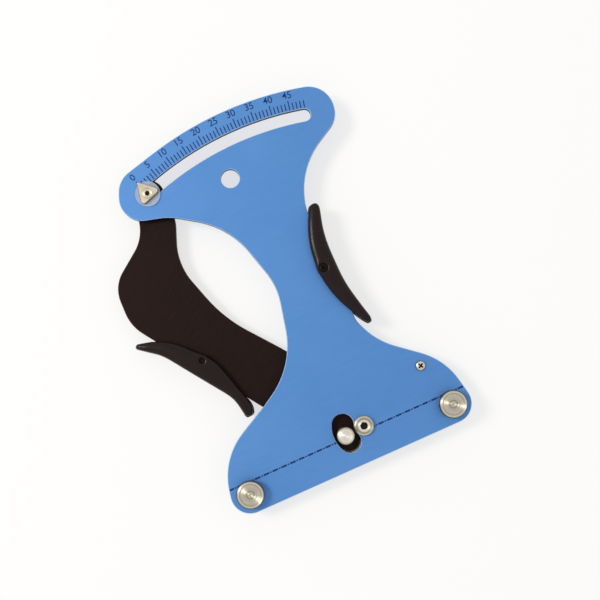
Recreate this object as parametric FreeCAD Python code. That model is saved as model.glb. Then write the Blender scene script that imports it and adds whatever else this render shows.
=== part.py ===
import FreeCAD, Part
import math
import os

from FreeCAD import Vector

os.makedirs("parts", exist_ok=True)

# Spoke tension meter, in millimetres.
# The origin lies on the axis of a clamped spoke, midway between the two fixed posts.
# +X runs along the spoke, +Y points to the dial and +Z out of the blue front face.
# The tool is built at rest: nothing squeezed, pointer on the first mark of the dial.

# Spoke and the three posts that bend it
spoke_radius = 1.0
groove_height = 3.2
post_spacing = 121.0
post_waist_radius = 5.2
post_groove_flare = 0.7
post_head_overhang = 2.5
post_head_height = 2.6
post_dish_depth = 0.7
post_rim_bevel = 0.7
post_rim_width = 0.8
post_stem_radius = 2.5
post_washer_radius = 5.0
post_washer_thickness = 1.0
post_nut_across_flats = 8.0
post_nut_height = 4.0
post_thread_stickout = 0.8

moving_post_reach = 11.5
moving_post_angle = 183.5
moving_post_waist_radius = 3.5
moving_post_groove_flare = 0.6
moving_post_head_overhang = 1.35
moving_post_head_height = 2.3
moving_post_dome = 0.35
moving_post_screw_radius = 2.0
moving_post_screw_depth = 5.0
moving_post_screw_head_radius = 3.5
moving_post_screw_head_height = 1.9

# Plates
plate_thickness = 3.2
lever_thickness = 2.8
plate_gap = 1.6
edge_break = 0.35
small_bevel = 0.4

# Pivot
pivot_x = 11.5
pivot_y = 2.6
pivot_shank_radius = 3.0
pivot_head_radius = 5.5
pivot_head_height = 2.7
pivot_head_bevel = 0.9
pivot_key_across_flats = 4.0
pivot_key_depth = 2.0
pivot_bush_radius = 4.5
pivot_washer_radius = 5.2
pivot_back_washer_radius = 7.0
pivot_back_washer_thickness = 0.8
pivot_nut_across_flats = 10.0
pivot_nut_height = 4.0
pivot_thread_stickout = 0.6

# Dial: slot, pointer and its stud, all set out from the pivot
pointer_reach = 174.0
pointer_zero_angle = 108.9
lever_travel = 32.2
dial_slot_gap = 0.2
dial_edge_beyond_slot = 15.2
dial_edge_turn = 14.0
stud_barrel_radius = 3.3
stud_flange_radius = 6.9
stud_flange_thickness = 0.9
pointer_thickness = 1.4
pointer_tip_reach = 8.5
pointer_tip_radius = 0.3
pointer_bevel = 0.25
pointer_base_reach = 3.3
pointer_base_half_width = 7.0
stud_screw_radius = 1.5
stud_screw_head_radius = 2.9
stud_screw_head_height = 1.3
stud_key_across_flats = 2.5
stud_key_depth = 1.0
stud_nut_across_flats = 5.5
stud_nut_height = 2.4
stud_thread_stickout = 0.4
stud_washer_radius = 3.5
stud_washer_thickness = 0.6

# Window in which the moving post swings; its ends are in degrees about the pivot
post_window_side_gap = 1.95
post_window_past_rest = 23.2
post_window_short_of_stop = 2.5

# Hole to hang the tool from
hang_hole_radius = 5.15
hang_hole_below_slot = 20.0

# Return spring between the lever's tail and an anchor on the plate
spring_wire_radius = 0.4
spring_outer_radius = 2.6
spring_turns = 13
spring_coil_gap = 0.5
spring_hook_gap = 0.1
spring_lead = 2.4
spring_first_angle = 230.0
spring_lever_gap = 0.35
anchor_x = 53.4
anchor_y = 19.9
anchor_radius = 3.4
anchor_neck_radius = 1.6
anchor_neck_half_height = 0.7
neck_flare = 0.3
anchor_cap_height = 2.1
anchor_screw_radius = 1.5
anchor_screw_depth = 4.4
anchor_screw_head_radius = 2.8
anchor_screw_head_height = 1.6
tail_x = 16.5
tail_y = -11.0
tail_pin_radius = 2.4
tail_pin_rivet_radius = 1.7
tail_pin_cap_height = 1.0

# Grips: one pair of halves on the plate for the palm, one on the lever for the fingers
palm_edge_x = 31.4
palm_middle_y = 89.0
grip_height = 5.6
grip_tip_height = 3.7
grip_parting_gap = 0.3
grip_rim_rounding = 1.4
grip_screw_radius = 1.5
grip_screw_head_radius = 2.4
grip_screw_head_height = 1.5
grip_screw_sink = 0.5
grip_screw_end_wall = 1.6
grip_peg_radius = 1.4
grip_peg_depth = 3.0

# Clearances
running_gap = 0.05
hole_gap = 0.1
slide_gap = 0.05
peg_gap = 0.1
peg_end_gap = 0.3
thread_gap = 0.02
thread_room = 0.6

# How far a cutter reaches past the face it opens
overshoot = 1.0

# Levels, worked out from the stack of plates
plate_top = -groove_height / 2
plate_back = plate_top - plate_thickness
lever_front = plate_back - plate_gap
lever_back = lever_front - lever_thickness
spring_level = lever_back - spring_lever_gap - spring_outer_radius

# Places, worked out from the sizes above
post_x = post_spacing / 2
post_y = -(post_waist_radius + spoke_radius)
pivot = Vector(pivot_x, pivot_y, 0)
hang_hole_place = Vector(0, pivot_y + pointer_reach - hang_hole_below_slot, 0)
palm_origin = Vector(palm_edge_x, palm_middle_y, 0)

# Sizes that follow from their mates
post_shoulder_radius = post_waist_radius + post_groove_flare
post_head_radius = post_waist_radius + post_head_overhang
moving_post_foot_radius = moving_post_waist_radius + moving_post_groove_flare
moving_post_head_radius = moving_post_waist_radius + moving_post_head_overhang
dial_slot_half_width = stud_barrel_radius + dial_slot_gap
dial_edge_radius = pointer_reach + dial_edge_beyond_slot
post_window_half_width = moving_post_foot_radius + post_window_side_gap
post_window_start = moving_post_angle - lever_travel + post_window_short_of_stop
post_window_end = moving_post_angle + post_window_past_rest


def from_pivot(reach, degrees):
    """Point at a distance and an angle from the pivot."""
    angle = math.radians(degrees)
    return pivot + Vector(reach * math.cos(angle), reach * math.sin(angle), 0)


moving_post_place = from_pivot(moving_post_reach, moving_post_angle)
stud_place = from_pivot(pointer_reach, pointer_zero_angle)
dial_end_angle = pointer_zero_angle - lever_travel
dial_end_place = from_pivot(pointer_reach, dial_end_angle)
anchor_place = Vector(anchor_x, anchor_y, 0)
tail_place = pivot + Vector(tail_x, tail_y, 0)


def rounded_outline(corners):
    """Closed wire through (x, y, radius) corners, each rounded by an arc that its sides have room for."""
    count = len(corners)
    points = [Vector(corner[0], corner[1], 0) for corner in corners]
    radii = [corner[2] for corner in corners]
    halves = []
    for i in range(count):
        back = points[i - 1] - points[i]
        ahead = points[(i + 1) % count] - points[i]
        halves.append(back.getAngle(ahead) / 2)
    reaches = [radii[i] / math.tan(halves[i]) for i in range(count)]
    room = []
    for i in range(count):
        side = (points[(i + 1) % count] - points[i]).Length
        room.append(min(1.0, side / (reaches[i] + reaches[(i + 1) % count])))
    edges = []
    ends = []
    for i in range(count):
        share = min(room[i], room[i - 1])
        back = (points[i - 1] - points[i]).normalize()
        ahead = (points[(i + 1) % count] - points[i]).normalize()
        inwards = (back + ahead).normalize()
        radius = radii[i] * share
        start = points[i] + back * (reaches[i] * share)
        middle = points[i] + inwards * (radius / math.sin(halves[i]) - radius)
        end = points[i] + ahead * (reaches[i] * share)
        ends.append((start, end))
        edges.append(Part.Arc(start, middle, end).toShape())
    for i in range(count):
        line_start = ends[i][1]
        line_end = ends[(i + 1) % count][0]
        if (line_end - line_start).Length > 0.001:
            edges.append(Part.LineSegment(line_start, line_end).toShape())
    return Part.Wire(Part.__sortEdges__(edges))


def slab(outline, low, high):
    """Flat solid over an outline, between two levels."""
    solid = Part.Face(outline).extrude(Vector(0, 0, high - low))
    solid.translate(Vector(0, 0, low))
    return solid


def disc(place, radius, low, high):
    """Upright cylinder between two levels."""
    return Part.makeCylinder(radius, high - low, Vector(place.x, place.y, low))


def ring(place, outer_radius, inner_radius, low, high):
    """Flat washer or sleeve between two levels."""
    return disc(place, outer_radius, low, high).cut(disc(place, inner_radius, low, high))


def hexagon(place, across_flats, low, high):
    """Upright hexagonal prism between two levels."""
    corner = across_flats / math.sqrt(3)
    points = []
    for i in range(7):
        angle = math.radians(60 * i + 30)
        points.append(Vector(place.x + corner * math.cos(angle), place.y + corner * math.sin(angle), 0))
    return slab(Part.makePolygon(points), low, high)


def nut(place, across_flats, bore_radius, low, high):
    """Hexagon nut with its corners turned away on both faces."""
    corner = across_flats / math.sqrt(3)
    middle = (low + high) / 2
    cone_rise = (high - low) / 2 + (corner - across_flats / 2)
    lower = Part.makeCone(across_flats / 2, across_flats / 2 + cone_rise * 2, cone_rise,
                          Vector(place.x, place.y, low))
    upper = Part.makeCone(across_flats / 2 + cone_rise * 2, across_flats / 2, cone_rise,
                          Vector(place.x, place.y, high - cone_rise))
    body = hexagon(place, across_flats, low, high)
    body = body.common(lower.fuse(disc(place, corner * 2, middle, high)))
    body = body.common(upper.fuse(disc(place, corner * 2, low, middle)))
    return body.cut(disc(place, bore_radius, low, high))


def turned(place, *points):
    """Solid turned about an upright axis. (r, z) draws a line, (r, z, r, z) an arc through its first pair."""
    edges = []
    here = Vector(points[0][0], 0, points[0][1])
    for point in points[1:] + points[:1]:
        there = Vector(point[-2], 0, point[-1])
        if (there - here).Length > 1e-6:
            if len(point) == 4:
                edges.append(Part.Arc(here, Vector(point[0], 0, point[1]), there).toShape())
            else:
                edges.append(Part.LineSegment(here, there).toShape())
        here = there
    solid = Part.Face(Part.Wire(edges)).revolve(Vector(0, 0, 0), Vector(0, 0, 1), 360)
    solid.translate(Vector(place.x, place.y, 0))
    return solid


def cross_recess(place, radius, width, top, depth):
    """Cutter for a cross-head driver: two crossed slots that narrow towards their floor."""
    cutter = None
    for turn in (0, 90):
        upper = Part.makePolygon([Vector(-radius, -width / 2, 0), Vector(radius, -width / 2, 0),
                                  Vector(radius, width / 2, 0), Vector(-radius, width / 2, 0),
                                  Vector(-radius, -width / 2, 0)])
        lower = upper.copy().scale(0.45)
        lower.translate(Vector(0, 0, -depth))
        slot = Part.makeLoft([lower, upper], True, True)
        slot.rotate(Vector(0, 0, 0), Vector(0, 0, 1), turn + 30)
        cutter = slot if cutter is None else cutter.fuse(slot)
    cutter.translate(Vector(place.x, place.y, top))
    return cutter


def arc_slot(reach, half_width, from_angle, to_angle, low, high):
    """Slot with round ends that follows an arc about the pivot."""
    middle_angle = (from_angle + to_angle) / 2
    inner = reach - half_width
    outer = reach + half_width
    start = from_pivot(reach, from_angle)
    end = from_pivot(reach, to_angle)
    along_start = (from_pivot(reach, from_angle - 90) - pivot).normalize()
    along_end = (from_pivot(reach, to_angle + 90) - pivot).normalize()
    edges = [
        Part.Arc(from_pivot(outer, from_angle), from_pivot(outer, middle_angle), from_pivot(outer, to_angle)),
        Part.Arc(from_pivot(outer, to_angle), end + along_end * half_width, from_pivot(inner, to_angle)),
        Part.Arc(from_pivot(inner, to_angle), from_pivot(inner, middle_angle), from_pivot(inner, from_angle)),
        Part.Arc(from_pivot(inner, from_angle), start + along_start * half_width,
                 from_pivot(outer, from_angle)),
    ]
    return slab(Part.Wire([edge.toShape() for edge in edges]), low, high)


def break_edges(solid, level, size):
    """Bevel every edge that lies in one level, all round a plate's face."""
    edges = [edge for edge in solid.Edges if abs(edge.BoundBox.ZMin - level) < 1e-4
             and abs(edge.BoundBox.ZMax - level) < 1e-4]
    return solid.makeChamfer(size, edges)


def plate_outline():
    """Blue plate: wide foot under the posts, waist for the hand, fan-shaped dial above."""
    top = from_pivot(dial_edge_radius / math.cos(math.radians(dial_edge_turn)), 90)
    right = dial_end_place
    left = stud_place
    hole = hang_hole_place
    return rounded_outline([
        (-post_x - 13.7, post_y - 11.0, 11.0),
        (post_x + 13.7, post_y - 11.0, 11.0),
        (post_x + 6.7, post_y + 23.8, 38.0),
        (37.6, 42.0, 41.0),
        (palm_edge_x, palm_middle_y - 32.4, 12.0),
        (palm_edge_x, palm_middle_y + 34.1, 12.0),
        (hole.x + 35.4, hole.y - 11.2, 46.0),
        (right.x + 15.5, right.y - 9.4, 11.9),
        (right.x + 19.5, right.y + 10.9, 14.5),
        (top.x, top.y, dial_edge_radius),
        (left.x - 11.8, left.y + 13.6, 13.6),
        (left.x - 21.1, left.y - 8.8, 12.7),
        (left.x + 6.0, left.y - 16.3, 37.0),
        (hole.x - 11.6, hole.y - 24.1, 48.0),
        (-0.6, 92.1, 38.0),
        (-10.6, 48.7, 47.0),
        (-34.1, 34.7, 50.0),
        (-post_x - 6.7, post_y + 23.8, 38.0),
    ])


def lever_outline():
    """Lever: round head at the pointer, outer bulge, straight finger side, foot and spring tail."""
    def corner(dx, dy, radius):
        return (pivot.x + dx, pivot.y + dy, radius)

    return rounded_outline([
        (stud_place.x + 8.9, stud_place.y + 8.6, 8.3),
        (stud_place.x - 8.9, stud_place.y + 8.6, 8.3),
        (stud_place.x - 11.9, stud_place.y - 18.9, 23.0),
        corner(-94.7, 126.6, 18.7),
        corner(-95.4, 102.7, 24.4),
        corner(-47.0, 32.3, 60.0),
        (moving_post_place.x - 5.6, moving_post_place.y - 8.9, 8.2),
        corner(-4.5, -7.0, 12.0),
        (tail_place.x - 0.5, tail_place.y - 4.8, 3.6),
        (tail_place.x + 5.0, tail_place.y + 1.9, 3.6),
        corner(10.0, 0.9, 5.0),
        corner(6.5, 15.4, 25.0),
        corner(-24.3, 58.0, 80.0),
        corner(-46.1, 85.9, 80.0),
        (stud_place.x - 1.2, stud_place.y - 41.1, 35.5),
        (stud_place.x + 7.8, stud_place.y - 18.6, 20.2),
    ])


# Palm grip, set out from the middle of the plate's edge that it clamps
palm_grip_corners = [
    (5.3, -37.3, 1.6),
    (9.5, -35.9, 1.8),
    (7.1, -27.9, 7.6),
    (3.0, -10.4, 60.0),
    (3.0, 18.0, 60.0),
    (7.2, 31.5, 14.0),
    (8.8, 37.1, 2.6),
    (1.6, 37.1, 3.0),
    (-9.2, 16.8, 59.0),
    (-8.6, -13.7, 59.0),
]
palm_grip_line = (Vector(-0.4, -37.0, 0), Vector(-0.4, 37.1, 0))
palm_screw_place = palm_origin + Vector(-5.2, 1.5, 0)
palm_peg_places = [palm_origin + Vector(-3.2, -9.5, 0), palm_origin + Vector(-3.2, 15.0, 0)]

# Finger grip, set out from the pivot
finger_grip_corners = [
    (-99.1, 90.0, 1.8),
    (-97.3, 93.0, 2.0),
    (-79.9, 88.4, 31.0),
    (-59.3, 66.7, 30.0),
    (-50.4, 34.9, 8.6),
    (-51.8, 29.6, 2.3),
    (-57.8, 28.9, 1.8),
    (-59.5, 42.2, 17.0),
    (-86.0, 80.1, 25.6),
]
finger_grip_line = (Vector(-98.0, 91.0, 0), Vector(-54.6, 29.6, 0))
finger_screw_place = pivot + Vector(-66.6, 68.9, 0)
finger_peg_places = [pivot + Vector(-73.8, 77.9, 0), pivot + Vector(-61.4, 60.4, 0)]


def moved(corners, origin):
    """Corners given from a reference point, moved to their place."""
    return [(origin.x + x, origin.y + y, radius) for x, y, radius in corners]


def grip_crown(line, seat, side):
    """Solid under the crown of a grip half, whose height is an arc along the grip."""
    tip_start, tip_end = line
    along = (tip_end - tip_start).normalize()
    across = Vector(-along.y, along.x, 0)
    half_length = (tip_end - tip_start).Length / 2 + 3
    centre = (tip_start + tip_end) * 0.5
    spread = 40.0
    depth = Vector(0, 0, side * -6)
    start = centre - along * half_length + Vector(0, 0, seat + side * grip_tip_height)
    middle = centre + Vector(0, 0, seat + side * grip_height)
    end = centre + along * half_length + Vector(0, 0, seat + side * grip_tip_height)
    wire = Part.Wire([
        Part.Arc(start, middle, end).toShape(),
        Part.LineSegment(end, end + depth * 2).toShape(),
        Part.LineSegment(end + depth * 2, start + depth * 2).toShape(),
        Part.LineSegment(start + depth * 2, start).toShape(),
    ])
    face = Part.Face(wire)
    face.translate(across * -spread)
    return face.extrude(across * (2 * spread))


def grip_half(corners, line, seat, other_seat, clamped, side):
    """One moulded half: crowned, round-rimmed, and hollowed to fit over the edge of the clamped plate."""
    parting = (seat + other_seat) / 2 + side * grip_parting_gap / 2
    top = seat + side * (grip_height + overshoot)
    blank = slab(rounded_outline(corners), min(parting, top), max(parting, top))
    blank = blank.common(grip_crown(line, seat, side))
    rim = [edge for edge in blank.Edges
           if (edge.BoundBox.ZMin - seat) * side > 0.5 and (edge.BoundBox.ZMax - seat) * side > 0.5]
    blank = blank.makeFillet(grip_rim_rounding, rim)
    return blank.cut(clamped)


def grip_pair(corners, line, origin, front, back, clamped, screw, pegs, screw_side):
    """Front and rear halves of a grip with the screw's hole and the two pegs that locate them."""
    corners = moved(corners, origin)
    line = [origin + point for point in line]
    front_half = grip_half(corners, line, front, back, clamped, 1)
    rear_half = grip_half(corners, line, back, front, clamped, -1)
    for peg in pegs:
        peg_end = back - grip_peg_depth + peg_end_gap
        front_half = front_half.fuse(disc(peg, grip_peg_radius, peg_end, front))
        rear_half = rear_half.cut(disc(peg, grip_peg_radius + peg_gap, back - grip_peg_depth, back))
    shank = grip_screw_radius + hole_gap
    head = grip_screw_head_radius + hole_gap
    top = front + grip_height
    bottom = back - grip_height
    if screw_side > 0:
        seat = top - grip_screw_sink - grip_screw_head_height
        front_half = front_half.cut(disc(screw, shank, back, seat))
        front_half = front_half.cut(disc(screw, head, seat, top + overshoot))
        rear_half = rear_half.cut(disc(screw, shank, bottom + grip_screw_end_wall, back))
    else:
        seat = bottom + grip_screw_sink + grip_screw_head_height
        rear_half = rear_half.cut(disc(screw, shank, seat, front))
        rear_half = rear_half.cut(disc(screw, head, bottom - overshoot, seat))
        front_half = front_half.cut(disc(screw, shank, front, top + overshoot))
    return front_half, rear_half


def face_plate():
    """Blue front plate with its dial slot, post window, hanging hole and fastener holes."""
    plate = slab(plate_outline(), plate_back, plate_top)
    through = (plate_back - overshoot, plate_top + overshoot)
    cutters = [
        arc_slot(pointer_reach, dial_slot_half_width, dial_end_angle, pointer_zero_angle, *through),
        arc_slot(moving_post_reach, post_window_half_width, post_window_start, post_window_end, *through),
        disc(hang_hole_place, hang_hole_radius, *through),
        disc(pivot, pivot_shank_radius + running_gap, *through),
        disc(anchor_place, anchor_screw_radius + hole_gap, *through),
        disc(palm_screw_place, grip_screw_radius + hole_gap, *through),
    ]
    for side in (-1, 1):
        cutters.append(disc(Vector(side * post_x, post_y, 0), post_stem_radius + hole_gap, *through))
    for peg in palm_peg_places:
        cutters.append(disc(peg, grip_peg_radius + peg_gap, *through))
    for cutter in cutters:
        plate = plate.cut(cutter)
    return plate


def lever_arm():
    """Black lever behind the plate."""
    lever = slab(lever_outline(), lever_back, lever_front)
    through = (lever_back - overshoot, lever_front + overshoot)
    cutters = [
        disc(pivot, pivot_bush_radius + thread_gap, *through),
        disc(moving_post_place, moving_post_screw_radius + hole_gap, *through),
        disc(tail_place, tail_pin_rivet_radius, *through),
        disc(stud_place, stud_screw_radius + hole_gap, *through),
        disc(finger_screw_place, grip_screw_radius + hole_gap, *through),
    ]
    for peg in finger_peg_places:
        cutters.append(disc(peg, grip_peg_radius + peg_gap, *through))
    for cutter in cutters:
        lever = lever.cut(cutter)
    return lever


def fixed_post(side):
    """Turned post: dished head, waisted groove for the spoke and a stem through the plate."""
    head_low = groove_height / 2
    head_top = head_low + post_head_height
    dish = head_top - post_dish_depth
    rim_inside = post_head_radius - post_rim_bevel - post_rim_width
    stem_end = plate_back - post_washer_thickness - post_nut_height - post_thread_stickout
    return turned(
        Vector(side * post_x, post_y, 0),
        (0, stem_end), (post_stem_radius - small_bevel, stem_end), (post_stem_radius, stem_end + small_bevel),
        (post_stem_radius, plate_top), (post_shoulder_radius, plate_top),
        (post_waist_radius, 0, post_shoulder_radius, head_low),
        (post_head_radius - small_bevel, head_low), (post_head_radius, head_low + small_bevel),
        (post_head_radius, head_top - post_rim_bevel), (post_head_radius - post_rim_bevel, head_top),
        (rim_inside, head_top), (rim_inside - post_dish_depth, dish),
        (3.6, dish), (3.2, dish + 0.3), (2.7, dish + 0.3), (2.3, dish),
        (1.0, dish), (0.7, dish - 0.35), (0, dish - 0.35),
    )


def post_washers():
    """One flat washer behind the plate under each fixed post's nut."""
    low = plate_back - post_washer_thickness
    return [ring(Vector(side * post_x, post_y, 0), post_washer_radius, post_stem_radius + hole_gap,
                 low, plate_back) for side in (-1, 1)]


def post_nuts():
    """Nuts that hold the fixed posts from behind."""
    high = plate_back - post_washer_thickness
    return [nut(Vector(side * post_x, post_y, 0), post_nut_across_flats, post_stem_radius + thread_gap,
                high - post_nut_height, high) for side in (-1, 1)]


def moving_post():
    """Turned post on the lever: plain foot through the window, waisted groove and a low domed head."""
    head_low = groove_height / 2
    head_top = head_low + moving_post_head_height
    thread_top = lever_front + moving_post_screw_depth - lever_thickness + thread_room
    bore = moving_post_screw_radius + thread_gap
    rim = moving_post_head_radius - 0.8
    sphere = (rim ** 2 + moving_post_dome ** 2) / (2 * moving_post_dome)
    dome_drop = sphere - math.sqrt(sphere ** 2 - (rim / 2) ** 2)
    dome_middle = (rim / 2, head_top + moving_post_dome - dome_drop)
    return turned(
        moving_post_place,
        (bore, lever_front), (moving_post_foot_radius, lever_front),
        (moving_post_foot_radius, plate_top),
        (moving_post_waist_radius, 0, moving_post_foot_radius, head_low),
        (moving_post_head_radius, head_low), (moving_post_head_radius, head_top - 0.6),
        (moving_post_head_radius - 0.25, head_top - 0.2, rim, head_top),
        (*dome_middle, 0, head_top + moving_post_dome),
        (0, thread_top), (bore, thread_top),
    )


def moving_post_screw():
    """Pan-head screw from behind the lever into the moving post."""
    tip = lever_front + moving_post_screw_depth - lever_thickness
    low = lever_back - moving_post_screw_head_height
    radius = moving_post_screw_head_radius
    screw = turned(
        moving_post_place,
        (0, tip), (moving_post_screw_radius, tip), (moving_post_screw_radius, lever_back),
        (radius, lever_back), (radius, lever_back - 0.9),
        (radius - 0.35, low + 0.4, radius - 1.2, low), (0, low),
    )
    recess = cross_recess(moving_post_place, radius * 0.55, 1.1, 0, 1.1)
    recess.rotate(moving_post_place, Vector(1, 0, 0), 180)
    recess.translate(Vector(0, 0, low))
    return screw.cut(recess)


def pivot_screw():
    """Button screw with a hexagon socket; its plain shank is the lever's pivot pin."""
    top = plate_top + pivot_head_height
    washer_low = lever_back - pivot_back_washer_thickness
    end = washer_low - pivot_nut_height - pivot_thread_stickout
    screw = turned(
        pivot,
        (0, end), (pivot_shank_radius - small_bevel, end), (pivot_shank_radius, end + small_bevel),
        (pivot_shank_radius, plate_top), (pivot_head_radius, plate_top),
        (pivot_head_radius, top - pivot_head_bevel), (pivot_head_radius - pivot_head_bevel, top), (0, top),
    )
    return screw.cut(hexagon(pivot, pivot_key_across_flats, top - pivot_key_depth, top + overshoot))


def pivot_spacer():
    """Nylon washer that keeps the lever clear of the plate."""
    return ring(pivot, pivot_washer_radius, pivot_shank_radius + hole_gap,
                lever_front + slide_gap, plate_back)


def pivot_bush():
    """Bronze bush pressed into the lever, running on the pivot screw."""
    return ring(pivot, pivot_bush_radius, pivot_shank_radius + running_gap, lever_back, lever_front)


def pivot_washer():
    """Steel washer behind the lever."""
    return ring(pivot, pivot_back_washer_radius, pivot_shank_radius + hole_gap,
                lever_back - pivot_back_washer_thickness, lever_back - slide_gap)


def pivot_nut():
    """Lock nut on the end of the pivot screw."""
    high = lever_back - pivot_back_washer_thickness
    return nut(pivot, pivot_nut_across_flats, pivot_shank_radius + thread_gap, high - pivot_nut_height, high)


def pointer_stud():
    """Nylon stud: a flange that slides on the plate and a barrel that runs in the dial slot."""
    flange_low = plate_top + slide_gap
    flange_high = flange_low + stud_flange_thickness
    barrel = ring(stud_place, stud_barrel_radius, stud_screw_radius + hole_gap, lever_front, flange_high)
    flange = ring(stud_place, stud_flange_radius, stud_screw_radius + hole_gap, flange_low, flange_high)
    return barrel.fuse(flange).removeSplitter()


def pointer():
    """Nickel-plated pointer, a pick shape whose tip reaches the marks, sunk for its screw."""
    low = plate_top + slide_gap + stud_flange_thickness
    high = low + pointer_thickness
    outline = rounded_outline([
        (pointer_tip_reach, 0, pointer_tip_radius),
        (-pointer_base_reach, pointer_base_half_width, 1.7),
        (-pointer_base_reach, -pointer_base_half_width, 1.7),
    ])
    blade = slab(outline, low, high)
    blade = break_edges(blade, high, pointer_bevel)
    blade.rotate(Vector(0, 0, 0), Vector(0, 0, 1), pointer_zero_angle)
    blade.translate(Vector(stud_place.x, stud_place.y, 0))
    shank = stud_screw_radius + hole_gap
    sink = Part.makeCone(shank, stud_screw_head_radius + 0.05, stud_screw_head_height,
                         Vector(stud_place.x, stud_place.y, high - stud_screw_head_height))
    return blade.cut(disc(stud_place, shank, low, high)).cut(sink)


def pointer_screw():
    """Countersunk screw with a hexagon socket through pointer, stud and lever."""
    high = plate_top + slide_gap + stud_flange_thickness + pointer_thickness
    end = lever_back - stud_washer_thickness - stud_nut_height - stud_thread_stickout
    screw = turned(
        stud_place,
        (0, end), (stud_screw_radius, end), (stud_screw_radius, high - stud_screw_head_height),
        (stud_screw_head_radius, high), (0, high),
    )
    return screw.cut(hexagon(stud_place, stud_key_across_flats, high - stud_key_depth, high + overshoot))


def pointer_washer():
    """Small washer behind the lever's head."""
    return ring(stud_place, stud_washer_radius, stud_screw_radius + hole_gap,
                lever_back - stud_washer_thickness, lever_back)


def pointer_nut():
    """Nut of the pointer's screw."""
    high = lever_back - stud_washer_thickness
    bore = stud_screw_radius + thread_gap
    return nut(stud_place, stud_nut_across_flats, bore, high - stud_nut_height, high)


def spring_anchor():
    """Standoff behind the plate with a neck for the spring's hook."""
    neck_low = spring_level - anchor_neck_half_height
    neck_high = spring_level + anchor_neck_half_height
    low = neck_low - anchor_cap_height
    thread_end = plate_top - anchor_screw_depth - thread_room
    bore = anchor_screw_radius + thread_gap
    return turned(
        anchor_place,
        (0, low), (anchor_radius - small_bevel, low), (anchor_radius, low + small_bevel),
        (anchor_radius, neck_low - neck_flare),
        (anchor_neck_radius, neck_low), (anchor_neck_radius, neck_high),
        (anchor_radius, neck_high + neck_flare), (anchor_radius, plate_back), (bore, plate_back),
        (bore, thread_end), (0, thread_end),
    )


def spring_anchor_screw():
    """Cross-head screw that holds the spring's anchor from the front."""
    top = plate_top + anchor_screw_head_height
    radius = anchor_screw_head_radius
    screw = turned(
        anchor_place,
        (0, plate_top - anchor_screw_depth), (anchor_screw_radius, plate_top - anchor_screw_depth),
        (anchor_screw_radius, plate_top), (radius, plate_top), (radius, plate_top + 0.6),
        (radius - 0.4, top - 0.35, radius - 1.2, top), (0, top),
    )
    return screw.cut(cross_recess(anchor_place, radius * 0.6, 0.9, top, 1.1))


def tail_pin():
    """Grooved pin riveted into the lever's tail for the spring's other hook."""
    neck_low = spring_level - anchor_neck_half_height
    neck_high = spring_level + anchor_neck_half_height
    low = neck_low - tail_pin_cap_height
    return turned(
        tail_place,
        (0, low), (tail_pin_radius - small_bevel, low), (tail_pin_radius, low + small_bevel),
        (tail_pin_radius, neck_low - neck_flare),
        (anchor_neck_radius, neck_low), (anchor_neck_radius, neck_high),
        (tail_pin_radius, neck_high + neck_flare), (tail_pin_radius, lever_back),
        (tail_pin_rivet_radius, lever_back),
        (tail_pin_rivet_radius, lever_front), (0, lever_front),
    )


bend_radii = []


def biarc(start, start_way, end, end_way):
    """Two arcs that leave one point and meet the next along given directions."""
    across = end - start
    ways = start_way + end_way
    spread = 2 - 2 * start_way.dot(end_way)
    lean = across.dot(ways)
    if spread < 1e-6:
        reach = across.dot(across) / (2 * lean)
    else:
        reach = (math.sqrt(lean * lean + spread * across.dot(across)) - lean) / spread
    corner_a = start + start_way * reach
    corner_b = end - end_way * reach
    joint = (corner_a + corner_b) * 0.5
    arcs = []
    for low, corner, high in ((start, corner_a, joint), (joint, corner_b, end)):
        chord_middle = (low + high) * 0.5
        half_chord = (high - low).Length / 2
        rise = (corner - chord_middle).Length
        turn = math.atan2(rise, half_chord)
        bend_radii.append(half_chord / math.sin(turn))
        bulge = half_chord * math.tan(turn / 2)
        middle = chord_middle + (corner - chord_middle).normalize() * bulge
        arcs.append(Part.Arc(low, middle, high).toShape())
    return arcs


def spring_stations():
    """Points and directions along the spring's wire: hook, straight lead, coil, lead and hook."""
    along = (anchor_place - tail_place).normalize()
    aside = Vector(-along.y, along.x, 0)
    up = Vector(0, 0, 1)
    length = (anchor_place - tail_place).Length
    origin = tail_place + Vector(0, 0, spring_level)
    coil_radius = spring_outer_radius - spring_wire_radius
    hook_radius = anchor_neck_radius + spring_hook_gap + spring_wire_radius
    pitch = 2 * spring_wire_radius + spring_coil_gap
    turns = spring_turns + (540 - 2 * spring_first_angle) / 360
    coil_start = (length - turns * pitch) / 2

    def place(x, y, z):
        return origin + along * x + aside * y + up * z

    def way(x, y, z):
        return (along * x + aside * y + up * z).normalize()

    def hook(centre, angle, sense):
        turn = math.radians(angle)
        point = place(centre + hook_radius * math.cos(turn), hook_radius * math.sin(turn), 0)
        return point, way(-math.sin(turn) * sense, math.cos(turn) * sense, 0)

    stations = [hook(0, angle, 1) for angle in (40, 100, 160, 215, 270)]
    stations.append((place(coil_start - spring_lead, -hook_radius, 0), along))
    rise = pitch / (2 * math.pi)
    steps = int(round(turns * 4))
    for i in range(steps + 1):
        turn = math.radians(spring_first_angle) + 2 * math.pi * turns * i / steps
        point = place(coil_start + turns * pitch * i / steps,
                      coil_radius * math.cos(turn), coil_radius * math.sin(turn))
        stations.append((point, way(rise, -coil_radius * math.sin(turn), coil_radius * math.cos(turn))))
    stations.append((place(length - coil_start + spring_lead, hook_radius, 0), along))
    stations += [hook(length, angle, -1) for angle in (90, 35, -20, -80, -140)]
    return stations


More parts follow.
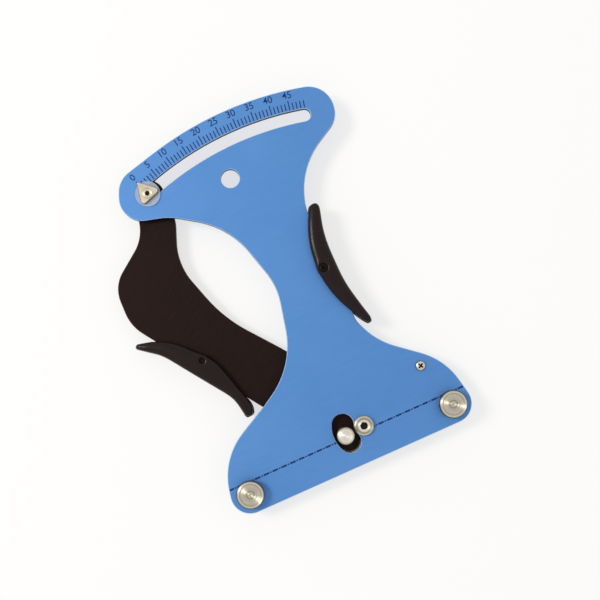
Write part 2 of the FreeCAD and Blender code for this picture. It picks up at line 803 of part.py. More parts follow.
def return_spring():
    """Extension spring: one unbroken wire with a hook at each end."""
    stations = spring_stations()
    edges = []
    for (start, start_way), (end, end_way) in zip(stations, stations[1:]):
        if (end - start).normalize().dot(start_way) > 0.999999:
            edges.append(Part.LineSegment(start, end).toShape())
        else:
            edges += biarc(start, start_way, end, end_way)
    path = Part.Wire(edges)
    profile = Part.Wire([Part.makeCircle(spring_wire_radius, stations[0][0], stations[0][1])])
    wire = path.makePipeShell([profile], True, False)
    report_spring(path, wire)
    return wire


def report_spring(path, wire):
    """Print the spring's tightest bend, the least gap between its turns and its volume."""
    step = spring_wire_radius / 2
    points = path.discretize(int(path.Length / step))
    apart = int(6 * spring_wire_radius / step)
    least = 1e9
    for i in range(len(points)):
        for j in range(i + apart, len(points)):
            least = min(least, (points[i] - points[j]).Length)
    section = math.pi * spring_wire_radius ** 2
    print("spring bends no tighter than", round(min(bend_radii), 2), "mm, wire radius", spring_wire_radius)
    print("least gap of the spring to itself", round(least - 2 * spring_wire_radius, 2), "mm")
    print("spring volume over section times length", round(wire.Volume / (section * path.Length), 4))


def grip_screw(place, front, back, side):
    """Cross-head screw through a grip, driven from the side given."""
    top = front + grip_height
    bottom = back - grip_height
    radius = grip_screw_head_radius
    if side > 0:
        head = top - grip_screw_sink
        tip = bottom + grip_screw_end_wall + 0.3
    else:
        head = bottom + grip_screw_sink
        tip = top - grip_screw_end_wall - 0.9
    seat = head - side * grip_screw_head_height
    screw = turned(
        place,
        (0, tip), (grip_screw_radius, tip), (grip_screw_radius, seat), (radius, seat),
        (radius, head - side * 0.7), (radius - 0.3, head - side * 0.25, radius - 0.9, head), (0, head),
    )
    recess = cross_recess(place, radius * 0.6, 0.8, 0, 1.0)
    if side < 0:
        recess.rotate(place, Vector(1, 0, 0), 180)
    recess.translate(Vector(0, 0, head))
    return screw.cut(recess)


def save(name, *solids):
    """Write one node, checking that every solid in it is whole."""
    pieces = []
    for solid in solids:
        pieces += solid.Solids
    for piece in pieces:
        if not piece.isValid() or piece.Volume <= 0:
            print("not a sound solid:", name)
    shape = pieces[0] if len(pieces) == 1 else Part.makeCompound(pieces)
    shape.exportStep(os.path.join("parts", name + ".step"))
    print(name, len(pieces), round(sum(piece.Volume for piece in pieces), 1))


plate = face_plate()
lever = lever_arm()
palm_front, palm_rear = grip_pair(palm_grip_corners, palm_grip_line, palm_origin, plate_top, plate_back,
                                  slab(plate_outline(), plate_back, plate_top),
                                  palm_screw_place, palm_peg_places, 1)
finger_front, finger_rear = grip_pair(finger_grip_corners, finger_grip_line, pivot, lever_front, lever_back,
                                      slab(lever_outline(), lever_back, lever_front),
                                      finger_screw_place, finger_peg_places, -1)
plate = break_edges(break_edges(plate, plate_top, edge_break), plate_back, edge_break)
lever = break_edges(break_edges(lever, lever_front, edge_break), lever_back, edge_break)

save("face_plate", plate)
save("fixed_post_left", fixed_post(-1))
save("fixed_post_right", fixed_post(1))
save("fixed_post_washers", *post_washers())
save("fixed_post_nuts", *post_nuts())
save("pivot_screw", pivot_screw())
save("pivot_spacer", pivot_spacer())
save("pivot_washer", pivot_washer())
save("pivot_nut", pivot_nut())
save("spring_anchor", spring_anchor())
save("spring_anchor_screw", spring_anchor_screw())
save("return_spring", return_spring())
save("palm_grip_front", palm_front)
save("palm_grip_rear", palm_rear)
save("palm_grip_screw", grip_screw(palm_screw_place, plate_top, plate_back, 1))
save("lever_arm", lever)
save("pivot_bush", pivot_bush())
save("moving_post", moving_post())
save("moving_post_screw", moving_post_screw())
save("spring_tail_pin", tail_pin())
save("pointer", pointer())
save("pointer_stud", pointer_stud())
save("pointer_screw", pointer_screw())
save("pointer_washer", pointer_washer())
save("pointer_nut", pointer_nut())
save("finger_grip_front", finger_front)
save("finger_grip_rear", finger_rear)
save("finger_grip_screw", grip_screw(finger_screw_place, lever_front, lever_back, -1))
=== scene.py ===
# %% [markdown]
# # A spoke tension meter, dressed in Blender
#
# The tool clamps a bicycle spoke between three posts. A sprung lever pushes the middle post
# against the spoke, and the lever's far end carries a pointer along a scale: a tight spoke
# bends little, a slack one bends more. Every solid comes from CAD, in metres, with its origin on
# the spoke between the two fixed posts. This lesson adds what CAD leaves plain: the printed
# scale, the marks on the plate, a smooth copy of the spring, and the finish of every piece.

# %% Load the solids
import math

import bmesh
import bpy
from mathutils import Matrix, Vector
from mathutils.bvhtree import BVHTree


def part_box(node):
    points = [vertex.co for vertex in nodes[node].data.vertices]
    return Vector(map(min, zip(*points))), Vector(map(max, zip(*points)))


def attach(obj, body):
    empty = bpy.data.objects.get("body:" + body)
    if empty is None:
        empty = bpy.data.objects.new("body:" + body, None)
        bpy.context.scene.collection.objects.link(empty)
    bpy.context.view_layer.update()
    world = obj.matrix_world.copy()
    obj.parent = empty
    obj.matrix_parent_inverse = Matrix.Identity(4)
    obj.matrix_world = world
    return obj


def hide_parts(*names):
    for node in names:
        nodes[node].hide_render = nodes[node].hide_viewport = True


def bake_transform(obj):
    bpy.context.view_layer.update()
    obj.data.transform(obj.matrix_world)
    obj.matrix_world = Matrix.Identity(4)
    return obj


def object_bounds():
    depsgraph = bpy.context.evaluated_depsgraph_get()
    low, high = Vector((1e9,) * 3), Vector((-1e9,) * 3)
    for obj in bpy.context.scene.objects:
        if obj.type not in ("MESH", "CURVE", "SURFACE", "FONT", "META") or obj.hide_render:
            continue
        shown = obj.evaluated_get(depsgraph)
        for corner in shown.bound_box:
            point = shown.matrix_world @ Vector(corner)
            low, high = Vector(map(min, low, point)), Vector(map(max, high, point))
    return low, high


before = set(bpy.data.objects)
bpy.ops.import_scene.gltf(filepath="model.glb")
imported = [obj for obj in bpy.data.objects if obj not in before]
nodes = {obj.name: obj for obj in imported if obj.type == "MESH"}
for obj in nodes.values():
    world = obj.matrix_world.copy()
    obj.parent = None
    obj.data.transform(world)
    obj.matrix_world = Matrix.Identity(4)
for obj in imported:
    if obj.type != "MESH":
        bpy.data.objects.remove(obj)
cad_low, cad_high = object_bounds()
print("pieces from CAD:", len(nodes))

# %% [markdown]
# ## Levels and the pivot
#
# Sizes on a small tool are easiest in millimetres, so `MM` turns them into metres once, here.
# The plates are stacked along Z: the printed marks need the level of the blue face, and
# everything round the dial needs the pivot that the lever turns about. Both could be typed in,
# but they are read from the solids, so that the marks and the solids can't drift apart.

# %% Read the levels and the pivot
MM = 0.001


def top_of(name):
    """Highest level of a CAD piece."""
    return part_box(name)[1].z


def middle_of(name):
    """Middle of a CAD piece's box."""
    low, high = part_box(name)
    return (low + high) / 2


FACE = top_of("face_plate")
PIVOT = middle_of("pivot_screw")
STUD = middle_of("pointer_screw")
DIAL_REACH = math.hypot(STUD.x - PIVOT.x, STUD.y - PIVOT.y)
DIAL_ZERO = math.atan2(STUD.y - PIVOT.y, STUD.x - PIVOT.x)
print("face at", round(FACE / MM, 3), "mm, dial slot", round(DIAL_REACH / MM, 2), "mm from the pivot")

# %% [markdown]
# ## The camera
#
# The photograph looks straight down on the tool, which lies turned by about 24 degrees. One way
# to match it is to tilt the camera until the walls show, but that bends the outline. A camera
# that is kept parallel to the plate and shifted, like a view camera, keeps the plate's true
# shape and still shows a little of the walls. A pixel of the picture is 0.55 mm wide, which sets
# the lens. One point whose place is known both in the picture and on the tool, 5.8 mm below the
# spoke and halfway between the two fixed posts, sets where the camera stands.

# %% Camera
TURN = math.radians(24.1)
CAMERA_HEIGHT = 440 * MM
PICTURE = 600
PIXEL = 0.55 * MM
SENSOR = 36
SHIFT_X, SHIFT_Y = 0.05, 0.11
NEAREST, FARTHEST = 0.01, 10
KNOWN_PIXEL = (350.75, 448.0)
KNOWN_BELOW_SPOKE = 5.8 * MM


def model_place(px, py):
    """Point of the plate's face under a pixel of the picture."""
    dx, dy = px - KNOWN_PIXEL[0], py - KNOWN_PIXEL[1]
    along = dx * math.cos(TURN) - dy * math.sin(TURN)
    across = -dx * math.sin(TURN) - dy * math.cos(TURN)
    return along * PIXEL, across * PIXEL - KNOWN_BELOW_SPOKE


def add_object(name, data):
    """New object in the scene for a camera, a lamp, a text or a mesh."""
    thing = bpy.data.objects.new(name, data)
    bpy.context.scene.collection.objects.link(thing)
    return thing


camera_x, camera_y = model_place(PICTURE * (0.5 - SHIFT_X), PICTURE * (0.5 + SHIFT_Y))
camera = add_object("camera", bpy.data.cameras.new("camera"))
camera.data.sensor_width = SENSOR
camera.data.lens = SENSOR * CAMERA_HEIGHT / (PICTURE * PIXEL)
camera.data.shift_x, camera.data.shift_y = SHIFT_X, SHIFT_Y
camera.data.clip_start, camera.data.clip_end = NEAREST, FARTHEST
right = Vector((math.cos(TURN), -math.sin(TURN), 0))
up = Vector((math.sin(TURN), math.cos(TURN), 0))
camera.matrix_world = Matrix((
    (right.x, up.x, 0, camera_x),
    (right.y, up.y, 0, camera_y),
    (right.z, up.z, 1, FACE + CAMERA_HEIGHT),
    (0, 0, 0, 1)))
bpy.context.scene.camera = camera
bpy.context.scene.view_settings.view_transform = "Standard"
print("lens", round(camera.data.lens, 1), "mm")

# %% [markdown]
# ## Helpers for node trees
#
# Every material below is a tree of nodes. `put` adds one node: what it is given as an input is
# either a value or another node's output, which it links. `linear` turns the hex colours, as a
# painter reads them off a screen, into the linear numbers that Blender computes with. Some
# sockets are named by their number: a colour Mix node takes its share in socket 0 and its two
# colours in 6 and 7 and gives the result in output 2, and a Map Range node takes the value in 0,
# the range it comes from in 1 and 2 and the range it goes to in 3 and 4.

# %% Colours, nodes and empty materials


def linear(code):
    """Linear colour of an sRGB hex value."""
    parts = [int(code[i:i + 2], 16) / 255 for i in (1, 3, 5)]
    return tuple(c / 12.92 if c <= 0.04045 else ((c + 0.055) / 1.055) ** 2.4 for c in parts) + (1.0,)


def put(tree, kind, inputs=None, **settings):
    """Add a node with its settings; an input that is an output socket is linked."""
    node = tree.nodes.new(kind)
    for name, value in settings.items():
        setattr(node, name, value)
    for key, value in (inputs or {}).items():
        if isinstance(value, bpy.types.NodeSocket):
            tree.links.new(value, node.inputs[key])
        else:
            node.inputs[key].default_value = value
    return node


def new_material(name):
    """Empty material with its node tree."""
    material = bpy.data.materials.new(name)
    material.use_nodes = True
    material.node_tree.nodes.clear()
    return material, material.node_tree


print("middle grey in linear numbers:", round(linear("#808080")[0], 3))

# %% [markdown]
# ## The paper under the tool
#
# The floor is white paper. In the picture it's almost pure white, even in the slot and under the
# plate's edge, so most of what a camera, a mirror or glass sees of it is white of its own, and
# the rest is lit paper, which keeps the tool's shadow. From below the paper is clear, so that the
# tool's back can be looked at too.

# %% Paper
FLOOR_DROP = 0.1 * MM
FLOOR_SIZE = 8.0
OWN_WHITE = 0.68


def seen_directly(tree):
    """1 where a camera, mirror or glass ray looks, 0 for light that bounces."""
    rays = put(tree, "ShaderNodeLightPath").outputs
    mirror = put(tree, "ShaderNodeMath", {0: rays["Is Camera Ray"], 1: rays["Is Glossy Ray"]},
                 operation="MAXIMUM").outputs[0]
    return put(tree, "ShaderNodeMath", {0: mirror, 1: rays["Is Transmission Ray"]},
               operation="MAXIMUM").outputs[0]


paper, tree = new_material("white_paper")
lift = put(tree, "ShaderNodeMath", {0: seen_directly(tree), 1: OWN_WHITE}, operation="MULTIPLY").outputs[0]
lit_paper = put(tree, "ShaderNodeBsdfDiffuse", {"Color": linear("#fbf9f6")}).outputs[0]
plain_white = put(tree, "ShaderNodeEmission", {"Color": linear("#ffffff"), "Strength": 1.0}).outputs[0]
upper_side = put(tree, "ShaderNodeMixShader", {0: lift, 1: lit_paper, 2: plain_white}).outputs[0]
clear = put(tree, "ShaderNodeBsdfTransparent").outputs[0]
from_below = put(tree, "ShaderNodeNewGeometry").outputs["Backfacing"]
sheet = put(tree, "ShaderNodeMixShader", {0: from_below, 1: upper_side, 2: clear}).outputs[0]
put(tree, "ShaderNodeOutputMaterial", {"Surface": sheet})

half = FLOOR_SIZE / 2
level = cad_low.z - FLOOR_DROP
corners = [(x, y, level) for x, y in ((-half, -half), (half, -half), (half, half), (-half, half))]
floor_mesh = bpy.data.meshes.new("floor")
floor_mesh.from_pydata(corners, [], [(0, 1, 2, 3)])
floor_mesh.materials.append(paper)
floor = add_object("floor", floor_mesh)
print("paper at", round(level / MM, 2), "mm")

# %% [markdown]
# ## The room
#
# The room is a light tent: white at the sides and a little greyer overhead, which is what gives
# polished metal its soft contrast. A picture of a real studio could be wrapped round the scene
# instead, but a slope of grey is all that the tool's satin pieces mirror. The light that fills
# the shadows is weaker than what the eye sees of the tent.

# %% Light tent
TENT_SIDE, TENT_TOP = 1.0, 0.82
SLOPE_STARTS, SLOPE_ENDS = 0.35, 1.0
FILL = 0.62
room = bpy.data.worlds.new("room")
room.use_nodes = True
tree = room.node_tree
tree.nodes.clear()
direct = seen_directly(tree)
looking = put(tree, "ShaderNodeTexCoord").outputs["Generated"]
height = put(tree, "ShaderNodeSeparateXYZ", {0: looking}).outputs[2]
tent = put(tree, "ShaderNodeMapRange", {
    0: height, 1: SLOPE_STARTS, 2: SLOPE_ENDS, 3: TENT_SIDE, 4: TENT_TOP}).outputs[0]
fill = put(tree, "ShaderNodeBackground", {"Color": linear("#ffffff"), "Strength": FILL}).outputs[0]
white = put(tree, "ShaderNodeBackground", {"Color": linear("#ffffff"), "Strength": tent}).outputs[0]
mixed = put(tree, "ShaderNodeMixShader", {0: direct, 1: fill, 2: white}).outputs[0]
put(tree, "ShaderNodeOutputWorld", {"Surface": mixed})
bpy.context.scene.world = room
print("tent from", TENT_SIDE, "at the sides to", TENT_TOP, "overhead")

# %% [markdown]
# ## The lamp
#
# One soft box stands to the left, about 40 degrees off the upright. A lamp high above would
# mirror in the brushed plate as a bright patch; from the side it shapes the grips, fans over the
# turned heads and throws the narrow grey shadow that the picture shows right of the lever.

# %% Soft box
LAMP_DISTANCE = 2.2
LAMP_SIZE = 0.6
LAMP_WATTS = 26.0
LAMP_LEAN = 0.9
LAMP_UPWARD = 0.2
lamp = bpy.data.lights.new("key_light", "AREA")
lamp.shape = "SQUARE"
lamp.size = LAMP_SIZE
lamp.energy = LAMP_WATTS
lamp.color = linear("#fffbf5")[:3]
from_left = (up * LAMP_UPWARD - right).normalized()
towards = (from_left * LAMP_LEAN + Vector((0, 0, 1))).normalized()
tool_middle = Vector(((cad_low.x + cad_high.x) / 2, (cad_low.y + cad_high.y) / 2, 0))
light = add_object("key_light", lamp)
light.location = tool_middle + towards * LAMP_DISTANCE
light.rotation_euler = (-towards).to_track_quat("-Z", "Y").to_euler()
print("lamp leans", round(math.degrees(math.atan(LAMP_LEAN))), "degrees")

# %% [markdown]
# ## Patterns that the finishes share
#
# Real surfaces are never one even tone. A brush leaves streaks, and dye, plating and moulding
# leave faint spots. Images could carry them, but noise needs no file and has no seams. Both
# patterns read the piece's own coordinates, so they turn with it when the lever moves.

# %% Streaks, spots and the surface itself
NOISE_LOW, NOISE_HIGH = 0.3, 0.7
SIDEWAYS = 0.37


def streaks(tree, spacing, length, turn, seed):
    """Noise drawn out along one direction: spacing and length in metres; a seed moves it elsewhere."""
    place = put(tree, "ShaderNodeTexCoord").outputs["Object"]
    turned = put(tree, "ShaderNodeVectorRotate", {"Vector": place, "Angle": turn}, rotation_type="Z_AXIS")
    scaled = put(tree, "ShaderNodeMapping", {
        "Vector": turned.outputs[0], "Location": (seed, seed * SIDEWAYS, 0),
        "Scale": (1 / length, 1 / spacing, 1 / spacing)})
    return put(tree, "ShaderNodeTexNoise", {
        "Vector": scaled.outputs[0], "Scale": 1.0, "Detail": 3.0, "Roughness": 0.6}).outputs["Fac"]


def clouds(tree, size, detail=2.0):
    """Soft noise with spots of about one size, in metres."""
    place = put(tree, "ShaderNodeTexCoord").outputs["Object"]
    return put(tree, "ShaderNodeTexNoise", {
        "Vector": place, "Scale": 1 / size, "Detail": detail, "Roughness": 0.55}).outputs["Fac"]


def surface(tree, relief=None, depth=0.0, **inputs):
    """Principled surface, its sockets written with underscores, over a relief of some depth."""
    named = {key.replace("_", " "): value for key, value in inputs.items()}
    if relief:
        named["Normal"] = put(tree, "ShaderNodeBump", {
            "Height": relief, "Distance": depth, "Strength": 1.0}).outputs[0]
    shader = put(tree, "ShaderNodeBsdfPrincipled", named)
    put(tree, "ShaderNodeOutputMaterial", {"Surface": shader.outputs[0]})


print("noise is stretched from", NOISE_LOW, "to", NOISE_HIGH)

# %% [markdown]
# ## Anodised aluminium, blue and black
#
# The plate is sheet aluminium, brushed in one direction, dyed blue and sealed. The oxide layer
# is clear and hard, so the eye gets metal seen through coloured glass: a bright satin blue, with
# a faint streak that the brush left. The lever is the same sheet, dyed black, which a camera
# sees as a warm brown black. Brush lines are about 0.1 mm apart, too fine for the picture, so
# they are drawn 0.35 and 0.4 mm apart. The bevel round each sheet would catch the light and the
# walls below it would lie in the dark, so the bevel gets a painted highlight, a lighter colour,
# and the walls get painted shade, a dark colour. A second material on those faces would do it
# too, but a CAD mesh isn't to be changed, so the material reads which way a face looks.

# %% Two sheets from one recipe
WALL_SHADE_FULL, WALL_SHADE_NONE = 0.3, 0.45
BEVEL_TILT, BEVEL_ROOM = 0.7071, 0.2
DRIFT_SPOT = 60 * MM


def walls_and_bevels(tree, face, bevel, wall):
    """Flat faces keep their colour; bevels get a painted highlight or shade tone, upright walls painted
    shade.
    """
    tilt = put(tree, "ShaderNodeNewGeometry").outputs["True Normal"]
    upright = put(tree, "ShaderNodeSeparateXYZ", {0: tilt}).outputs[2]
    flatness = put(tree, "ShaderNodeMath", {0: upright}, operation="ABSOLUTE").outputs[0]
    # Upright walls are painted dark, as painted shade; 45 degree bevels get a tone of painted light.
    painted_wall_share = put(tree, "ShaderNodeMapRange", {
        0: flatness, 1: WALL_SHADE_FULL, 2: WALL_SHADE_NONE, 3: 1, 4: 0}).outputs[0]
    painted_bevel_share = put(tree, "ShaderNodeMath", {0: flatness, 1: BEVEL_TILT, 2: BEVEL_ROOM},
                   operation="COMPARE").outputs[0]
    with_painted_edges = put(tree, "ShaderNodeMix", {0: painted_bevel_share, 6: face, 7: linear(bevel)}, data_type="RGBA").outputs[2]
    return put(tree, "ShaderNodeMix", {0: painted_wall_share, 6: with_painted_edges, 7: linear(wall)}, data_type="RGBA").outputs[2]


def anodised_sheet(name, dark, light, bevel, wall, brush, shares, rough, depth, **values):
    """Brushed and dyed sheet; shares say how much the brush lines and the slow drift change its tone. Its
    bevels get a painted highlight and its walls painted shade.
    """
    material, tree = new_material(name)
    grain = streaks(tree, *brush)
    drift = clouds(tree, DRIFT_SPOT)
    fine = put(tree, "ShaderNodeMapRange", {0: grain, 1: NOISE_LOW, 2: NOISE_HIGH, 4: shares[0]}).outputs[0]
    slow = put(tree, "ShaderNodeMapRange", {0: drift, 1: NOISE_LOW, 2: NOISE_HIGH, 4: shares[1]}).outputs[0]
    shade = put(tree, "ShaderNodeMath", {0: fine, 1: slow}, operation="ADD").outputs[0]
    face = put(tree, "ShaderNodeMix", {0: shade, 6: linear(dark), 7: linear(light)},
               data_type="RGBA").outputs[2]
    satin = put(tree, "ShaderNodeMapRange", {
        0: grain, 1: NOISE_LOW, 2: NOISE_HIGH, 3: rough[0], 4: rough[1]}).outputs[0]
    with_painted_edges = walls_and_bevels(tree, face, bevel, wall)
    surface(tree, grain, depth, Base_Color=with_painted_edges, Roughness=satin, **values)
    print(name, "brushed at", round(brush[0] / MM, 2), "mm")
    return material


# The third colour is a painted highlight on the bevels, the fourth painted shade on the walls.
blue = anodised_sheet(
    "brushed_blue_anodised_aluminium", "#5085c6", "#5d91ce", "#9dc0e8", "#101f40",
    brush=(0.35 * MM, 9 * MM, 0.0, 3.0), shares=(0.55, 0.45), rough=(0.48, 0.56),
    depth=0.005 * MM, Metallic=0.5, Specular_IOR_Level=0.3)
# The third colour is a painted highlight on the bevels, the fourth painted shade on the walls.
black_sheet = anodised_sheet(
    "brushed_black_anodised_aluminium", "#1b1110", "#281b19", "#4f3d33", "#120b0a",
    brush=(0.4 * MM, 12 * MM, math.radians(-35), 11.0), shares=(1.0, 0.0), rough=(0.45, 0.58),
    depth=0.006 * MM, Metallic=0.6, Specular_IOR_Level=0.12)

# %% [markdown]
# ## Turned steel
#
# The posts, the pivot and the small screws are turned. The tool leaves fine rings round the axis,
# drawn here 0.3 to 0.5 mm apart, coarser than real ones, and rings throw a highlight into two
# opposite fans, which an anisotropic surface gives when its tangent runs round the axis. A turned
# head mirrors the room differently at a chamfer, a rim and a dished middle, each at its own
# radius, and these bands are painted into its colour as painted reflection and shade; inside a
# socket the colour is painted dark, as painted shade. So its colour is read off its distance from
# the axis, and a socket is what lies inside a radius and below a level.

# %% Painted light bands and socket shade


def from_axis(tree, centre):
    """Distance from an upright axis, in metres."""
    place = put(tree, "ShaderNodeTexCoord").outputs["Object"]
    moved = put(tree, "ShaderNodeVectorMath", {0: place, 1: (centre.x, centre.y, 0)},
                operation="SUBTRACT").outputs[0]
    flat = put(tree, "ShaderNodeVectorMath", {0: moved, 1: (1, 1, 0)}, operation="MULTIPLY").outputs[0]
    return put(tree, "ShaderNodeVectorMath", {0: flat}, operation="LENGTH").outputs["Value"]


def bands(tree, reach, stops):
    """Colours by distance from the axis, from pairs of millimetres and a hex colour: painted reflection and
    shade of a chamfer, rim and dish.
    """
    widest = stops[-1][0]
    share = put(tree, "ShaderNodeMapRange", {0: reach, 2: widest * MM}).outputs[0]
    node = put(tree, "ShaderNodeValToRGB", {0: share})
    elements = node.color_ramp.elements
    for radius, code in stops[1:-1]:
        elements.new(radius / widest)
    for element, (radius, code) in zip(elements, stops):
        element.position = radius / widest
        element.color = linear(code)
    return node.outputs[0]


def sunk(tree, reach, radius, level):
    """1 inside a radius and below a level: the inside of a socket, where painted shade goes."""
    place = put(tree, "ShaderNodeTexCoord").outputs["Object"]
    height = put(tree, "ShaderNodeSeparateXYZ", {0: place}).outputs[2]
    inside = put(tree, "ShaderNodeMath", {0: reach, 1: radius}, operation="LESS_THAN").outputs[0]
    below = put(tree, "ShaderNodeMath", {0: height, 1: level}, operation="LESS_THAN").outputs[0]
    return put(tree, "ShaderNodeMath", {0: inside, 1: below}, operation="MULTIPLY").outputs[0]


head_low, head_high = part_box("fixed_post_left")
print("a post's head reaches", round((head_high.x - head_low.x) / 2 / MM, 2), "mm from its axis")

# %% [markdown]
# ## One recipe for the turned pieces
#
# One recipe makes all the turned pieces. It is given a piece's bands of painted reflection and
# shade, roughness, strength of the fan, spacing of the rings, and the radius and depth of its
# socket, which gets painted shade, where it has one. The faint brown spots are what fingers and
# time leave on bare steel.

# %% Posts and screws
STAIN_SPOT, STAIN_DETAIL, MOST_STAIN = 2.0 * MM, 4.0, 0.12
STAIN_LOW, STAIN_HIGH = 0.35, 0.65
QUARTER_TURN = 0.25
RING_DEPTH = 0.006 * MM
# Each band paints the reflection and shade that a chamfer, rim, dish or socket shows at its radius; the steel
# under them is one colour apart from the stains.
HEAD_PAINTED_LIGHT_BANDS = [(0, "#b9b09c"), (1.1, "#e0d9c9"), (2.0, "#9d947e"), (2.6, "#cbc3b1"), (5.2, "#d6cfbe"),
              (6.0, "#b9b09c"), (6.5, "#e6e0d2"), (7.1, "#c6bead"), (7.5, "#3d372d")]
FLAT_PAINTED_LIGHT_BANDS = [(0, "#f2ede3"), (2.4, "#e6e0d3"), (3.2, "#f0ebe0"), (4.2, "#c9c1b1"), (4.85, "#5f5749")]
PIVOT_PAINTED_LIGHT_BANDS = [(0, "#3a332c"), (2.2, "#f0ebdf"), (3.2, "#e2dccd"), (3.6, "#a49b85"), (4.4, "#a89f89"),
               (4.7, "#ece6d8"), (5.5, "#9b927e")]
SMALL_PAINTED_LIGHT_BANDS = [(0, "#e6e1d7"), (2.1, "#d5cfc3"), (2.8, "#857d70")]
POINTER_PAINTED_LIGHT_BANDS = [(0, "#beb59d"), (2.3, "#d3cbb5"), (2.9, "#b3aa93")]


def turned_metal(name, node, stops, rough, fan, ring, socket=None):
    """Metal turned about a piece's axis: painted reflection and shade by radius, rings, fanned highlight,
    stains, painted shade in the socket.
    """
    material, tree = new_material(name)
    reach = from_axis(tree, middle_of(node))
    spots = clouds(tree, STAIN_SPOT, STAIN_DETAIL)
    stain = put(tree, "ShaderNodeMapRange", {0: spots, 1: STAIN_LOW, 2: STAIN_HIGH, 4: MOST_STAIN}).outputs[0]
    colour = put(tree, "ShaderNodeMix", {0: stain, 6: bands(tree, reach, stops), 7: linear("#6f675a")},
                 data_type="RGBA").outputs[2]
    if socket:
        # Inside the socket the colour is painted dark brown: painted shade in the recess.
        dark = sunk(tree, reach, socket[0] * MM, top_of(node) - socket[1] * MM)
        colour = put(tree, "ShaderNodeMix", {0: dark, 6: colour, 7: linear("#2b2520")},
                     data_type="RGBA").outputs[2]
    turns = put(tree, "ShaderNodeMath", {0: reach, 1: 2 * math.pi / (ring * MM)},
                operation="MULTIPLY").outputs[0]
    rings = put(tree, "ShaderNodeMath", {0: turns}, operation="SINE").outputs[0]
    tangent = put(tree, "ShaderNodeTangent", direction_type="RADIAL", axis="Z").outputs[0]
    surface(tree, rings, RING_DEPTH, Base_Color=colour, Metallic=1.0, Roughness=rough, Anisotropic=fan,
            Anisotropic_Rotation=QUARTER_TURN, Tangent=tangent)
    return material


TURNED = {
    "fixed_post_left": ("turned_steel_fixed_post_left", HEAD_PAINTED_LIGHT_BANDS, 0.42, 0.94, 0.5, None),
    "fixed_post_right": ("turned_steel_fixed_post_right", HEAD_PAINTED_LIGHT_BANDS, 0.42, 0.94, 0.5, None),
    "moving_post": ("polished_steel_post", FLAT_PAINTED_LIGHT_BANDS, 0.42, 0.7, 0.4, None),
    "pivot_screw": ("turned_steel_pivot", PIVOT_PAINTED_LIGHT_BANDS, 0.4, 0.8, 0.4, (2.1, 0.3)),
    "spring_anchor_screw": ("turned_steel_small_screw", SMALL_PAINTED_LIGHT_BANDS, 0.3, 0.4, 0.3, (1.6, 0.15)),
    "pointer_screw": ("nickel_plated_socket_screw", POINTER_PAINTED_LIGHT_BANDS, 0.4, 0.5, 0.3, (1.4, 0.12)),
}
posts = {}
for node, (name, *recipe) in TURNED.items():
    posts[node] = turned_metal(name, node, *recipe)
print("turned pieces:", len(posts))

# %% [markdown]
# ## Plated, drawn and moulded pieces
#
# Zinc plate is a cool bright grey, spring wire a darker one, the grips' screws are zinc dyed
# black, and the bush is bronze. Natural nylon is a milky white that lets some of the blue
# through, and the marking ink is a matt navy. Each could have a tree of its own, but all of them
# need two tones that drift in spots and their own gloss, and all but the ink a fine relief, so
# one recipe makes them.

# %% Two toned finishes


def two_toned(name, dark, light, spot, pit, depth, **values):
    """Two tones that drift in spots, over fine pits; spot, pit and depth in millimetres."""
    material, tree = new_material(name)
    tone = put(tree, "ShaderNodeMix", {0: clouds(tree, spot * MM), 6: linear(dark), 7: linear(light)},
               data_type="RGBA").outputs[2]
    relief = clouds(tree, pit * MM) if pit else None
    surface(tree, relief, depth * MM, Base_Color=tone, **values)
    return material


zinc = two_toned("bright_zinc_plate", "#9fa1a3", "#c9cccd", 2.0, 0.4, 0.005, Metallic=1.0, Roughness=0.32)
wire_steel = two_toned("drawn_spring_steel", "#7d7c7b", "#b0afad", 1.5, 0.25, 0.004,
                       Metallic=1.0, Roughness=0.3)
black_screw = two_toned("black_zinc_screw", "#0f0c0b", "#2a2422", 0.8, 0.4, 0.006,
                        Metallic=0.8, Roughness=0.4, Specular_IOR_Level=0.2)
bronze = two_toned("turned_bronze", "#8a6335", "#b98d52", 1.5, 0.4, 0.004, Metallic=1.0, Roughness=0.35)
nylon = two_toned("natural_nylon", "#cbd8ea", "#dde6f2", 2.5, 0.6, 0.004,
                  Roughness=0.38, IOR=1.53, Alpha=0.38, Specular_IOR_Level=0.35)
ink = two_toned("navy_marking_ink", "#0f2c63", "#1b3b78", 0.7, None, 0,
                Roughness=0.6, IOR=1.48, Specular_IOR_Level=0.2)
print("zinc and ink are", zinc.name, "and", ink.name)

# %% [markdown]
# The pointer is a stamped plate with nickel on it, a little yellower than steel, whose edges the
# stamp rolled over; those rolled edges get painted shade, a darker tone, and the walls a darker
# painted shade still. The grips are nylon with glass fibre, moulded: satin, with pits that the
# fibres leave, about half a millimetre apart, where the gloss changes too.

# %% Nickel plate and the moulding
nickel, tree = new_material("satin_nickel_plate")
stain = put(tree, "ShaderNodeMapRange", {0: clouds(tree, 2.5 * MM), 1: NOISE_LOW, 2: NOISE_HIGH}).outputs[0]
face = put(tree, "ShaderNodeMix", {0: stain, 6: linear("#beb59d"), 7: linear("#d8d0ba")},
           data_type="RGBA").outputs[2]
# Painted shade: the rolled edges are painted darker and the walls darker still.
with_painted_edges = walls_and_bevels(tree, face, "#a0967f", "#5f5748")
surface(tree, clouds(tree, 0.5 * MM), 0.006 * MM, Base_Color=with_painted_edges, Metallic=1.0, Roughness=0.34)

